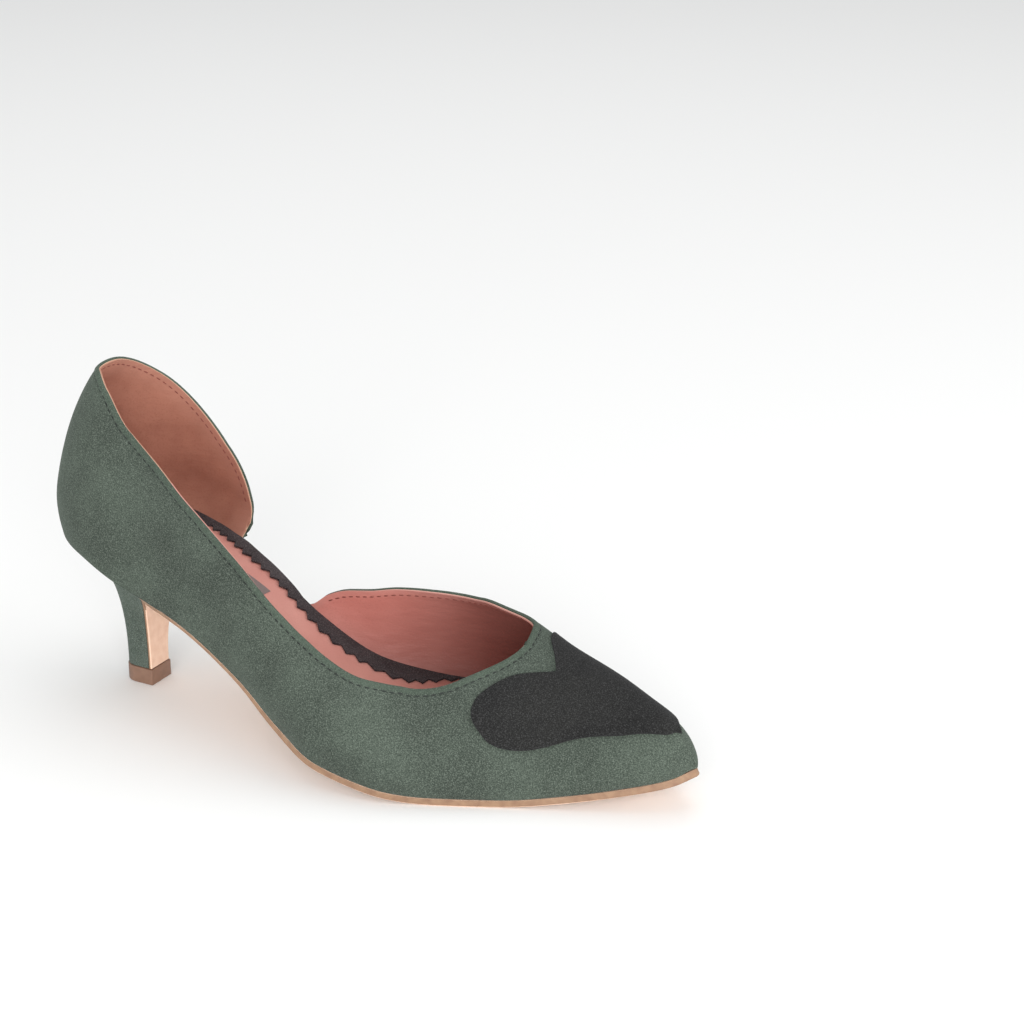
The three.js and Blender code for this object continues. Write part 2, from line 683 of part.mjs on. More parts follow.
// The outsole starts at the foot of the heel's front, runs up it, and on to the toe
function makeOutsole() {
  const path = HEEL.map((row) => {
    const outer = heelPoint(OUTER, row, 1);
    const inner = heelPoint(INNER, row, 1);
    const thick = mix(BREAST_SOLE, WAIST_SOLE, row.ahead);
    return { x: outer.x, z: outer.z, outer: outer.y, inner: inner.y, thick };
  });
  const ahead = [...spread(LIP + 4, THROAT, 26), ...easeTo(THROAT, LENGTH, 12)];
  for (const x of ahead) {
    const thick = mix(WAIST_SOLE, SOLE, smooth(shareAt(x, LENGTH * 0.33, LENGTH * 0.5)));
    path.push({ x, z: bedHeight(x) - GAP, outer: sideAt(OUTER, x), inner: sideAt(INNER, x), thick });
  }
  return loft(path.map((p, i) => {
    const before = path[Math.max(i - 1, 0)];
    const after = path[Math.min(i + 1, path.length - 1)];
    const run = new THREE.Vector2(after.x - before.x, after.z - before.z).normalize();
    const seam = p.x < LIP ? GAP : 0;
    const at = (depth, y) => new THREE.Vector3(
      p.x + run.y * (depth + seam),
      y,
      Math.max(p.z - run.x * (depth + seam), 0),
    );
    const bevel = Math.min(SOLE_EDGE, (p.inner - p.outer) / 4);
    return [
      at(0, p.outer),
      at(0, p.inner),
      at(p.thick - SOLE_EDGE, p.inner),
      at(p.thick, p.inner - bevel),
      at(p.thick, p.outer + bevel),
      at(p.thick - SOLE_EDGE, p.outer),
    ];
  }));
}

const suede = new THREE.MeshStandardMaterial({ color: 0x4e5f54, roughness: 0.95, metalness: 0 });
const darkSuede = new THREE.MeshStandardMaterial({ color: 0x444446, roughness: 0.95, metalness: 0 });
const lining = new THREE.MeshStandardMaterial({ color: 0xe3988a, roughness: 0.6, metalness: 0 });
const tan = new THREE.MeshStandardMaterial({ color: 0xb98e6b, roughness: 0.55, metalness: 0 });
const rubber = new THREE.MeshStandardMaterial({ color: 0xb98663, roughness: 0.5, metalness: 0 });

const shoe = new THREE.Group();
const origin = new THREE.Vector3((TIP_BACK + TIP_FRONT) / 2, TIP_SIDE, 0);
shoe.position.copy(origin).negate();

function addPiece(name, geometry, material) {
  const mesh = new THREE.Mesh(geometry, material);
  mesh.name = name;
  shoe.add(mesh);
}

addPiece('upper', makeUpper(), suede);
addPiece('heart_overlay', makeHeart(), darkSuede);
addPiece('insole', makeInsole(), lining);
addPiece('insole_wrap', makeWrap(), darkSuede);
addPiece('outsole', makeOutsole(), tan);
addPiece('heel', makeHeel(), suede);
addPiece('top_piece', makeTip(), rubber);

export default shoe;
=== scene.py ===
# Low heel shoe, right foot: the looks around the fixed frame.
# Sizes in the dictionaries are millimetres, and every mesh is in metres.
import math

import bmesh
import bpy
from mathutils import Matrix, Vector
from mathutils.bvhtree import BVHTree
from mathutils.kdtree import KDTree


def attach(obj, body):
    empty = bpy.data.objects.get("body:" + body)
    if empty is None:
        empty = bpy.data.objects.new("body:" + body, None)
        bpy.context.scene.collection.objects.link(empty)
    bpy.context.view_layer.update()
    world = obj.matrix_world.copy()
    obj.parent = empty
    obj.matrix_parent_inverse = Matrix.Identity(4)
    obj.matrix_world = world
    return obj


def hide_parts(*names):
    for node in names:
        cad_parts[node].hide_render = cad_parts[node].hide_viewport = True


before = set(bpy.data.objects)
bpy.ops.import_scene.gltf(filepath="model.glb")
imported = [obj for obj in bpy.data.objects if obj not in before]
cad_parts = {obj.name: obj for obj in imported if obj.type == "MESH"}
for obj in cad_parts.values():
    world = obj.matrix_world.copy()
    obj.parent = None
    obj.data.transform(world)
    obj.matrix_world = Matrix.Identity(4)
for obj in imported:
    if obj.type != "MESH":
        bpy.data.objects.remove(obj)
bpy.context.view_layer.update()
mm = 0.001
tiny = 1e-6                 # a difference that rounding can make between two stations


def linear(hexColour):
    parts = [int(hexColour[i:i + 2], 16) / 255 for i in (0, 2, 4)]
    return tuple(c / 12.92 if c <= 0.04045 else ((c + 0.055) / 1.055) ** 2.4 for c in parts) + (1.0,)


def addNode(tree, kind, values=(), links=(), **settings):
    node = tree.nodes.new(kind)
    for name, value in settings.items():
        setattr(node, name, value)
    for socket, value in dict(values).items():
        node.inputs[socket].default_value = value
    for socket, source in dict(links).items():
        tree.links.new(source, node.inputs[socket])
    return node


# Camera, floor and light
view = {
    "at": (487.6, -620.5, 373.9),
    "turn": 28.72,          # degrees round the upright axis
    "down": 21.65,          # degrees below level
    "focal": 2427,          # pixels of a 1024 picture
    "shiftUp": -0.0057,
}
bpy.ops.object.camera_add(
    location=Vector(view["at"]) * mm,
    rotation=(math.radians(90 - view["down"]), 0, math.radians(view["turn"])),
)
camera = bpy.context.active_object
camera.data.sensor_width = 36
camera.data.lens = 36 * view["focal"] / 1024
camera.data.shift_y = view["shiftUp"]
camera.data.clip_end = 50
bpy.context.scene.camera = camera
bpy.context.scene.view_settings.view_transform = "Standard"

lights = [
    {"name": "front", "at": (750, -1250, 420), "aim": (90, 0, 40), "size": 1100, "watts": 21},
    {"name": "overhead", "at": (-150, 350, 1700), "aim": (100, 0, 30), "size": 1800, "watts": 11},
    {"name": "toe_side", "at": (1400, 200, 350), "aim": (150, 0, 20), "size": 900, "watts": 7},
]
for light in lights:
    aim = Vector(light["aim"]) - Vector(light["at"])
    bpy.ops.object.light_add(
        type="AREA",
        location=Vector(light["at"]) * mm,
        rotation=aim.to_track_quat("-Z", "Y").to_euler(),
    )
    lamp = bpy.context.active_object
    lamp.name = light["name"]
    lamp.data.size = light["size"] * mm
    lamp.data.energy = light["watts"]

world = bpy.data.worlds.new("soft_white")
bpy.context.scene.world = world
world.use_nodes = True
world.node_tree.nodes["Background"].inputs["Color"].default_value = linear("f6f7f8")
world.node_tree.nodes["Background"].inputs["Strength"].default_value = 0.66


def newMaterial(name, settings):
    material = bpy.data.materials.new(name)
    material.use_nodes = True
    tree = material.node_tree
    skin = tree.nodes["Principled BSDF"]
    for socket, value in settings.items():
        skin.inputs[socket].default_value = value
    return material, tree, skin


# Painted board: even, pale and matt, so that the shoe's shadow is all that shows on it
floorPaint, floorTree, floorSkin = newMaterial(
    "painted_board", {"Roughness": 0.9, "Base Color": linear("f4f4f3")})
floorPlace = addNode(floorTree, "ShaderNodeTexCoord").outputs["Object"]
floorGrain = addNode(floorTree, "ShaderNodeTexNoise", {"Scale": 900.0}, {"Vector": floorPlace})
floorBump = addNode(
    floorTree, "ShaderNodeBump", {"Strength": 0.05, "Distance": 0.2 * mm},
    {"Height": floorGrain.outputs["Fac"]})
floorTree.links.new(floorBump.outputs["Normal"], floorSkin.inputs["Normal"])
bpy.ops.mesh.primitive_plane_add(size=12, location=(0, 0, 0))
floor = bpy.context.active_object
floor.name = "floor"
floor.data.materials.append(floorPaint)
print("camera, floor and lights are in place")


# The last: the same sizes as the CAD model's, from the counter's back, with up from the floor
last = {
    "length": 241,
    "ballWidth": 81,
    "seatWidth": 57,
    "seatCentre": 42,
    "seatDepth": 39.2,
    "seatRise": 53.9,
    "toeSpring": 12.1,
    "instep": 88,
    "toeSide": 2,
    "noseLength": 19,
    "nosePlan": (2.6, 2),   # how early and how bluntly the toe closes, seen from above
    "noseHeight": (3, 2.2),
    "bed": 2.8,             # the upper's lower edge above the floor at the ball
    "collarRise": 58.5,
    "vampRise": 40,
    "throat": 173.6,
    "throatStart": 150,
    "throatLip": 0.22,      # the last of the turn, which the throat's edge takes straight across
    "bow": 2.2,             # the throat's edge bows this far forward
    "bowTurn": 0.7,
    "bowReach": 25,
    "vampTurn": 0.9,        # the vamp's inner edge lies this far up its rib, then turns in
    "vampTurnStart": 140,
    "vampTurnReach": 0.12,  # rounds the vamp's inner edge off where it starts to turn
    "vampTurnRound": (2.4, 2.2),
    "quarterEnd": 50.5,
    "quarterRound": 0.38,
    "vampStart": 84,
    "backHeight": 74.8,
    "backFull": 2.24,
    "backRound": 1.6,
    "lean": 0.084,          # the counter leans to the inner side by this share of its height
    "leanFade": (40, 130),
    "collarTravel": 0.6,    # round the heel the collar's edge moves this far for each mm of its foot
    "tip": (29.3, -2.6),    # the heel tip's middle, where the frame's origin is
}


def table(columns, *rows):
    names = columns.split()
    return [dict(zip(names, row)) for row in rows]


# Widths are shares of the width named in the row, the ridge of the ball's, the height of the instep
sections = table(
    "along of outer inner ridge height full round",
    (0.174, "seatWidth", 0.521, 0.525, -0.049, 1.0, 1.6, 1.9),
    (0.274, "seatWidth", 0.56, 0.412, -0.046, 0.882, 2.2, 2.1),
    (0.382, "seatWidth", 0.618, 0.318, -0.031, 0.739, 2.5, 2.2),
    (0.456, "ballWidth", 0.491, 0.26, 0.033, 0.632, 2.45, 2.1),
    (0.531, "ballWidth", 0.553, 0.372, 0.117, 0.577, 2.15, 1.9),
    (0.606, "ballWidth", 0.543, 0.467, 0.191, 0.53, 1.9, 1.8),
    (0.689, "ballWidth", 0.449, 0.47, 0.236, 0.486, 1.7, 1.7),
    (0.772, "ballWidth", 0.336, 0.422, 0.218, 0.399, 1.5, 1.7),
    (0.855, "ballWidth", 0.227, 0.333, 0.147, 0.326, 1.4, 1.8),
    (0.929, "ballWidth", 0.127, 0.218, 0.059, 0.244, 1.35, 1.85),
    (0.979, "ballWidth", 0.06, 0.135, -0.012, 0.192, 1.4, 1.9),
    (1.0, "ballWidth", 0.017, 0.089, -0.037, 0.165, 1.4, 1.9),
)
# The lower edge: shares of the seat's rise and of the toe spring
bedLine = table(
    "along arch spring",
    (0.0, 1.0, 0), (0.083, 0.96, 0), (0.174, 0.829, 0), (0.274, 0.696, 0), (0.382, 0.449, 0),
    (0.456, 0.249, 0), (0.531, 0.119, 0), (0.606, 0.048, 0), (0.685, 0, 0), (0.765, 0, 0),
    (0.855, 0, 0.223), (0.929, 0, 0.529), (0.979, 0, 0.793), (1.0, 0, 1.0),
)
# The outer side's top edge, a share of the collar's rise
outerEdgeLine = table(
    "along rise",
    (0.076, 1.032), (0.1, 1.053), (0.13, 1.018), (0.174, 0.878), (0.23, 0.792), (0.286, 0.72),
    (0.39, 0.67), (0.494, 0.6), (0.581, 0.518), (0.656, 0.515),
)
# The vamp's inner edge, a share of the vamp's rise
vampEdgeLine = table(
    "along rise",
    (0.349, 0), (0.382, 0.22), (0.415, 0.42), (0.456, 0.61), (0.498, 0.765), (0.548, 0.87),
    (0.602, 0.94), (0.656, 1.05),
)
# How far the wall swells out above its lower edge, and up to what height
swell = {"fore": 3.1, "outer": 1.0, "inner": 6.5, "back": 3.0, "noseShare": 0.25, "rearFade": (50, 110)}
swellHeight = {"fore": 16.4, "side": 12.5, "back": 18.9}
outer, inner = -1, 1        # the two sides of the foot


def mix(a, b, t):
    return a + (b - a) * t


def shareAt(value, low, high):
    return min(max((value - low) / (high - low), 0), 1)


def smooth(t):
    return t * t * (3 - 2 * t)


def curve(rows, value):
    # A smooth curve through a table's column that never overshoots its rows
    xs = [row["along"] * last["length"] for row in rows]
    ys = [value(row) for row in rows]
    rises = [(ys[i + 1] - ys[i]) / (xs[i + 1] - xs[i]) for i in range(len(xs) - 1)]
    inside = [0 if a * b <= 0 else 2 * a * b / (a + b) for a, b in zip(rises, rises[1:])]
    slopes = [0] + inside + [0]

    def at(x):
        x = min(max(x, xs[0]), xs[-1])
        i = 0
        while i < len(xs) - 2 and x > xs[i + 1]:
            i += 1
        step = xs[i + 1] - xs[i]
        t = (x - xs[i]) / step
        left = ys[i] * (1 + 2 * t) + slopes[i] * step * t
        right = ys[i + 1] * (3 - 2 * t) - slopes[i + 1] * step * (1 - t)
        return left * (1 - t) ** 2 + right * t ** 2
    return at


widthOf = {
    outer: curve(sections, lambda row: row["outer"] * last[row["of"]]),
    inner: curve(sections, lambda row: row["inner"] * last[row["of"]]),
}
ridgeSide = curve(sections, lambda row: row["ridge"] * last["ballWidth"])
ribHeight = curve(sections, lambda row: row["height"] * last["instep"])
ribFull = curve(sections, lambda row: row["full"])
ribRound = curve(sections, lambda row: row["round"])
bedHeight = curve(
    bedLine,
    lambda row: last["bed"] + row["arch"] * last["seatRise"] + row["spring"] * last["toeSpring"])
outerEdge = curve(outerEdgeLine, lambda row: row["rise"] * last["collarRise"])
vampEdge = curve(vampEdgeLine, lambda row: row["rise"] * last["vampRise"])


def noseOpen(x, early, late):
    # How far the toe is still open: 1 before the nose, 0 at its point
    run = shareAt(x, last["length"] - last["noseLength"], last["length"])
    return (1 - run ** early) ** (1 / late)


def stationOf(x):
    # 0 at the back, 1 at the seat's middle, 2 at the toe
    return 1 + (x - last["seatCentre"]) / (last["length"] - last["seatCentre"])


def stationX(station):
    return mix(last["seatCentre"], last["length"], max(station - 1, 0))


def ribEnds(side, station):
    x = stationX(station)
    nose = noseOpen(x, *last["nosePlan"])
    root = Vector((x, mix(last["toeSide"], ridgeSide(x), nose)))
    edge = mix(last["toeSide"], side * widthOf[side](x), nose)
    angle = min(station, 1) * math.pi / 2
    foot = Vector((x - last["seatDepth"] * math.cos(angle), mix(root.y, edge, math.sin(angle))))
    if station >= 1:
        foot.x = x
    return root, foot


def outward(side, station):
    if station == 0:
        return Vector((-1, 0))
    step = 1e-3
    before = ribEnds(side, max(station - step, 0))[1]
    after = ribEnds(side, min(station + step, 2 - tiny))[1]
    run = (after - before).normalized()
    return Vector((-side * run.y, side * run.x))


def ribSizes(side, station):
    x = stationX(station)
    turned = math.sin(min(station, 1) * math.pi / 2) ** 2
    nose = noseOpen(x, *last["noseHeight"])
    rear = smooth(1 - shareAt(x, *swell["rearFade"]))
    foreSwell = swell["fore"] * mix(swell["noseShare"], 1, nose)
    sideSwell = mix(foreSwell, swell["outer" if side == outer else "inner"], rear)
    foreHeight = mix(swellHeight["fore"], swellHeight["side"], rear)
    return {
        "height": mix(last["backHeight"], ribHeight(x) * nose, turned),
        "full": mix(last["backFull"], ribFull(x), turned),
        "round": mix(last["backRound"], ribRound(x), turned),
        "swell": mix(swell["back"], sideSwell, turned),
        "swellHeight": mix(swellHeight["back"], foreHeight, turned),
        "lean": last["lean"] * smooth(1 - shareAt(x, *last["leanFade"])),
    }


def facePoint(side, station, up):
    root, foot = ribEnds(side, station)
    sizes = ribSizes(side, station)
    share = min(max(up / sizes["height"], 0), 1) if sizes["height"] > 0 else 1
    reach = (1 - share ** sizes["full"]) ** (1 / sizes["round"])
    swollen = sizes["swell"] * (1 - (1 - min(up / sizes["swellHeight"], 1)) ** 2) * reach
    out = outward(side, station)
    return Vector((
        mix(root.x, foot.x, reach) + out.x * swollen,
        mix(root.y, foot.y, reach) + out.y * swollen + sizes["lean"] * up,
        bedHeight(foot.x) + up,
    ))


# A rib's turn is how far round it a point lies: 0 at its foot, a quarter turn on the ridge
ridgeTurn = math.pi / 2
crestTurn = ridgeTurn - last["throatLip"]


def turnOf(share):
    return math.asin(min(max(share, 0), 1))


def isClosed(station):
    # From the throat forward the wall goes right over the foot
    return station > stationOf(last["throat"]) - tiny


def outerRise(x):
    # The outer edge's height over its rib's foot
    along = mix(last["seatCentre"], x, last["collarTravel"]) if x < last["seatCentre"] else x
    return outerEdge(along) + bedHeight(along) - bedHeight(x)


def softMin(a, b, reach):
    # The lower of two turns, rounded off where they cross
    share = min(max(0.5 + (b - a) / (2 * reach), 0), 1)
    return mix(b, a, share) - reach * share * (1 - share)


def edgeTurn(side, station):
    # How far round its rib the wall's edge lies
    height = ribSizes(side, station)["height"]
    x = ribEnds(side, station)[1].x
    if station == 0:
        # Both sides meet at the back
        return turnOf(last["collarRise"] / height)
    if side == outer:
        if isClosed(station):
            return crestTurn
        start = last["throatStart"]
        if x <= start:
            return turnOf(outerRise(x) / height)
        left = math.sqrt(1 - shareAt(x, start, last["throat"]) ** 2)
        return mix(crestTurn, turnOf(outerRise(start) / ribHeight(start)), left)
    if isClosed(station):
        return ridgeTurn
    if x <= last["quarterEnd"]:
        back = last["seatCentre"] - last["seatDepth"]
        ahead = 1 - shareAt(x, back, last["quarterEnd"])
        return turnOf(last["collarRise"] * ahead ** last["quarterRound"] / height)
    if x <= last["vampStart"]:
        return 0
    early, late = last["vampTurnRound"]
    left = (1 - shareAt(x, last["vampTurnStart"], last["throat"]) ** early) ** (1 / late)
    turning = mix(ridgeTurn, turnOf(last["vampTurn"]), left)
    return softMin(turnOf(vampEdge(x) / height), turning, last["vampTurnReach"] * left)


def turnPoint(side, station, turn):
    # Near the throat the outer side's ribs bow forward
    if side == outer and station > 1:
        x = stationX(station)
        near = smooth(1 - shareAt(abs(x - last["throat"]), 0, last["bowReach"]))
        bow = math.sin(math.pi * shareAt(ridgeTurn - turn, 0, last["bowTurn"]))
        station = stationOf(x + last["bow"] * near * bow)
    return facePoint(side, station, math.sin(turn) * ribSizes(side, station)["height"])


def toScene(p):
    return Vector(((p.x - last["tip"][0]) * mm, (p.y - last["tip"][1]) * mm, p.z * mm))


def spread(a, b, count):
    return [mix(a, b, (i + 1) / count) for i in range(count)]


def easeTo(a, b, count):
    return [mix(a, b, math.sin((i + 1) / count * math.pi / 2)) for i in range(count)]


fine = {
    "rimBand": 6,
    "rimSteps": 11,
    "lowSteps": 26,
    "lipSteps": 8,
    "throatBand": 5,
    "rimSpacing": 0.4,
    "skewed": 0.8,          # a face with diagonals this unequal is split along the shorter one
    "weld": 0.004,
    "leastArea": 1e-12,     # square metres
}
ribStations = [0] + spread(0, 1, 40)
for places in (
    easeTo(last["seatCentre"], last["quarterEnd"], 22),
    spread(last["quarterEnd"], last["vampStart"], 20),
    spread(last["vampStart"], last["throatStart"], 48),
    easeTo(last["throatStart"], last["throat"], 20),
    spread(last["throat"], last["throat"] + fine["throatBand"], 9),
    easeTo(last["throat"] + fine["throatBand"], last["length"], 46),
):
    ribStations += [stationOf(x) for x in places]


def ribTurns(side, station):
    # Closer together in the band under the top edge, where the fold and its stitches are
    root, foot = ribEnds(side, station)
    top = edgeTurn(side, station)
    arc = (ribSizes(side, station)["height"] + (foot - root).length) / 2
    low = max(top - fine["rimBand"] / max(arc, 1), top / 2)
    return [0] + spread(0, low, fine["lowSteps"]) + spread(low, top, fine["rimSteps"])


def sheetMesh(stations):
    # The upper's outer face on both sides, welded at the back and on the ridge
    sheet = bmesh.new()
    closed = [s for s in stations if isClosed(s)]
    lip = [crestTurn] + spread(crestTurn, ridgeTurn, fine["lipSteps"])
    patches = [(side, [(s, ribTurns(side, s)) for s in stations]) for side in (outer, inner)]
    patches.append((outer, [(s, lip) for s in closed]))
    for side, ribs in patches:
        places = [[toScene(turnPoint(side, s, turn)) for turn in turns] for s, turns in ribs]
        grid = [[sheet.verts.new(place) for place in row] for row in places]
        for ribA, ribB in zip(grid, grid[1:]):
            for i in range(len(ribA) - 1):
                a, b, c, d = ribA[i], ribB[i], ribB[i + 1], ribA[i + 1]
                first = (a.co - c.co).length
                second = (b.co - d.co).length
                if first < fine["skewed"] * second:
                    faces = [(a, b, c), (a, c, d)]
                elif second < fine["skewed"] * first:
                    faces = [(a, b, d), (b, c, d)]
                else:
                    faces = [(a, b, c, d)]
                for corners in faces:
                    sheet.faces.new(corners if side == outer else corners[::-1])
    bmesh.ops.remove_doubles(sheet, verts=sheet.verts, dist=fine["weld"] * mm)
    flat = [f for f in sheet.faces if f.calc_area() < fine["leastArea"]]
    bmesh.ops.delete(sheet, geom=flat, context="FACES")
    loose = [v for v in sheet.verts if not v.link_faces]
    bmesh.ops.delete(sheet, geom=loose, context="VERTS")
    sheet.normal_update()
    return sheet


def toplinePlaces():
    # From the vamp's inner corner round the throat, back along the outer side and round the
    # counter: a side, a station and a turn
    throatStation = stationOf(last["throat"])
    vampStation = stationOf(last["vampStart"])
    quarterStation = stationOf(last["quarterEnd"])
    vamp = [(inner, s) for s in ribStations if vampStation <= s <= throatStation + tiny]
    side = [(outer, s) for s in reversed(ribStations) if s < throatStation - tiny]
    counter = [(inner, s) for s in ribStations if 0 < s <= quarterStation]
    lip = [(outer, throatStation, turn) for turn in spread(ridgeTurn, crestTurn, fine["lipSteps"])]
    found = [(a, s, edgeTurn(a, s)) for a, s in vamp]
    found += lip
    return found + [(a, s, edgeTurn(a, s)) for a, s in side + counter]


def evenly(points, step):
    # Points along a path, a step apart
    found = [points[0].copy()]
    left = step
    for a, b in zip(points, points[1:]):
        length = (b - a).length
        while length >= left > 0:
            a = a.lerp(b, left / length)
            found.append(a.copy())
            length = (b - a).length
            left = step
        left -= length
    return found


def treeOf(points):
    tree = KDTree(len(points))
    for i, p in enumerate(points):
        tree.insert(p, i)
    tree.balance()
    return tree


topline = [toScene(turnPoint(*place)) for place in toplinePlaces()]
rimTree = treeOf(evenly(topline, fine["rimSpacing"] * mm))


def rimDistance(p):
    return rimTree.find(p)[2] / mm


def newObject(name, mesh):
    data = bpy.data.meshes.new(name)
    mesh.to_mesh(data)
    mesh.free()
    piece = bpy.data.objects.new(name, data)
    bpy.context.scene.collection.objects.link(piece)
    return piece


def pick(piece):
    bpy.ops.object.select_all(action="DESELECT")
    piece.select_set(True)
    bpy.context.view_layer.objects.active = piece


def addModifier(piece, kind, **settings):
    pick(piece)
    modifier = piece.modifiers.new(kind.lower(), kind)
    for name, value in settings.items():
        setattr(modifier, name, value)
    bpy.ops.object.modifier_apply(modifier=modifier.name)


def markRim(piece, tree):
    # Each point's distance from an edge, in millimetres, for the materials
    marks = piece.data.attributes.new("rim", "FLOAT", "POINT")
    for i, vertex in enumerate(piece.data.vertices):
        marks.data[i].value = tree.find(vertex.co)[2] / mm


def finishPiece(piece, material, nodes=()):
    if material:
        piece.data.materials.clear()
        piece.data.materials.append(material)
    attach(piece, "root")
    if nodes:
        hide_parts(*nodes)


# Suede: split hide, buffed to a nap. The nap scatters light, so it has no gloss, turns pale at
# grazing edges and shows lighter and darker patches where it was stroked.
def suedeMaterial(name, look):
    material, tree, skin = newMaterial(name, {
        "Roughness": 0.94,
        "Specular IOR Level": 0.15,
        "Sheen Weight": look["sheen"],
        "Sheen Roughness": 0.5,
        "Sheen Tint": linear(look["sheenTint"]),
    })
    place = addNode(tree, "ShaderNodeTexCoord").outputs["Object"]
    stroked = addNode(
        tree, "ShaderNodeTexNoise", {"Scale": 1 / (look["patch"] * mm), "Detail": 4.0},
        {"Vector": place})
    strokedShare = addNode(
        tree, "ShaderNodeMapRange", {"From Min": 0.38, "From Max": 0.64},
        {"Value": stroked.outputs["Fac"]})
    tone = addNode(
        tree, "ShaderNodeMix", {6: linear(look["dark"]), 7: linear(look["light"])},
        {0: strokedShare.outputs["Result"]}, data_type="RGBA")
    nap = addNode(
        tree, "ShaderNodeTexNoise", {"Scale": 1 / (look["nap"] * mm), "Detail": 3.0, "Roughness": 0.65},
        {"Vector": place})
    tipShare = addNode(
        tree, "ShaderNodeMapRange", {"From Min": 0.5, "From Max": 0.74, "To Max": look["tipShare"]},
        {"Value": nap.outputs["Fac"]})
    tipped = addNode(
        tree, "ShaderNodeMix", {7: linear(look["tipColour"])},
        {0: tipShare.outputs["Result"], 6: tone.outputs[2]}, data_type="RGBA")
    rootShare = addNode(
        tree, "ShaderNodeMapRange", {"From Min": 0.5, "From Max": 0.32, "To Max": 0.7},
        {"Value": nap.outputs["Fac"]})
    rooted = addNode(
        tree, "ShaderNodeMix", {7: linear(look["rootColour"])},
        {0: rootShare.outputs["Result"], 6: tipped.outputs[2]}, data_type="RGBA")
    # Near an edge the colour turns to rimColour: on the upper's topline a painted highlight along the
    # fold, on the heart's raw edge the paler fuzz of the cut nap
    rim = addNode(tree, "ShaderNodeAttribute", attribute_name="rim")
    bandEnds = {"From Min": look["rimBand"], "From Max": look["rimBand"] * 0.6, "To Max": 0.35}
    bandShare = addNode(tree, "ShaderNodeMapRange", bandEnds, {"Value": rim.outputs["Fac"]})
    banded = addNode(
        tree, "ShaderNodeMix", {7: linear(look["rimColour"])},
        {0: bandShare.outputs["Result"], 6: rooted.outputs[2]}, data_type="RGBA")
    tree.links.new(banded.outputs[2], skin.inputs["Base Color"])
    napBump = addNode(
        tree, "ShaderNodeBump", {"Strength": 0.45, "Distance": look["napDepth"] * mm},
        {"Height": nap.outputs["Fac"]})
    uneven = addNode(
        tree, "ShaderNodeTexNoise", {"Scale": 1 / (look["patch"] * 0.16 * mm), "Detail": 3.0},
        {"Vector": place})
    unevenBump = addNode(
        tree, "ShaderNodeBump", {"Strength": 0.25, "Distance": 0.4 * mm},
        {"Height": uneven.outputs["Fac"], "Normal": napBump.outputs["Normal"]})
    tree.links.new(unevenBump.outputs["Normal"], skin.inputs["Normal"])
    return material


# rimColour is a painted highlight along the topline's fold
greenSuede = suedeMaterial("buffed_green_suede", {
    "dark": "3d443d", "light": "4b544b", "tipColour": "7e887d", "rootColour": "262c28",
    "rimColour": "4a584b", "rimBand": 2.3, "patch": 24, "nap": 0.38, "tipShare": 0.7, "napDepth": 0.25,
    "sheen": 0.16, "sheenTint": "a9b5ac",
})
# The heel's cover is the same green suede, painted paler: painted light on the heel
heelSuede = suedeMaterial("painted_light_green_suede", {
    "dark": "48514a", "light": "59635b", "tipColour": "8c968c", "rootColour": "323a34",
    "rimColour": "59635b", "rimBand": 0.1, "patch": 18, "nap": 0.38, "tipShare": 0.7, "napDepth": 0.25,
    "sheen": 0.16, "sheenTint": "a9b5ac",
})
charcoalSuede = suedeMaterial("buffed_charcoal_suede", {
    "dark": "1f1f1f", "light": "272726", "tipColour": "565656", "rootColour": "151515",
    "rimColour": "3c3c3c", "rimBand": 0.45, "patch": 20, "nap": 0.38, "tipShare": 0.65, "napDepth": 0.25,
    "sheen": 0.14, "sheenTint": "8e8e90",
})
# The wrap round the sock's edge is the same suede, painted paler and browner: painted light
wrapSuede = suedeMaterial("painted_light_charcoal_suede", {
    "dark": "352f30", "light": "413b3c", "tipColour": "756c6d", "rootColour": "211d1e",
    "rimColour": "413b3c", "rimBand": 0.1, "patch": 12, "nap": 0.38, "tipShare": 0.65, "napDepth": 0.25,
    "sheen": 0.14, "sheenTint": "9a9092",
})


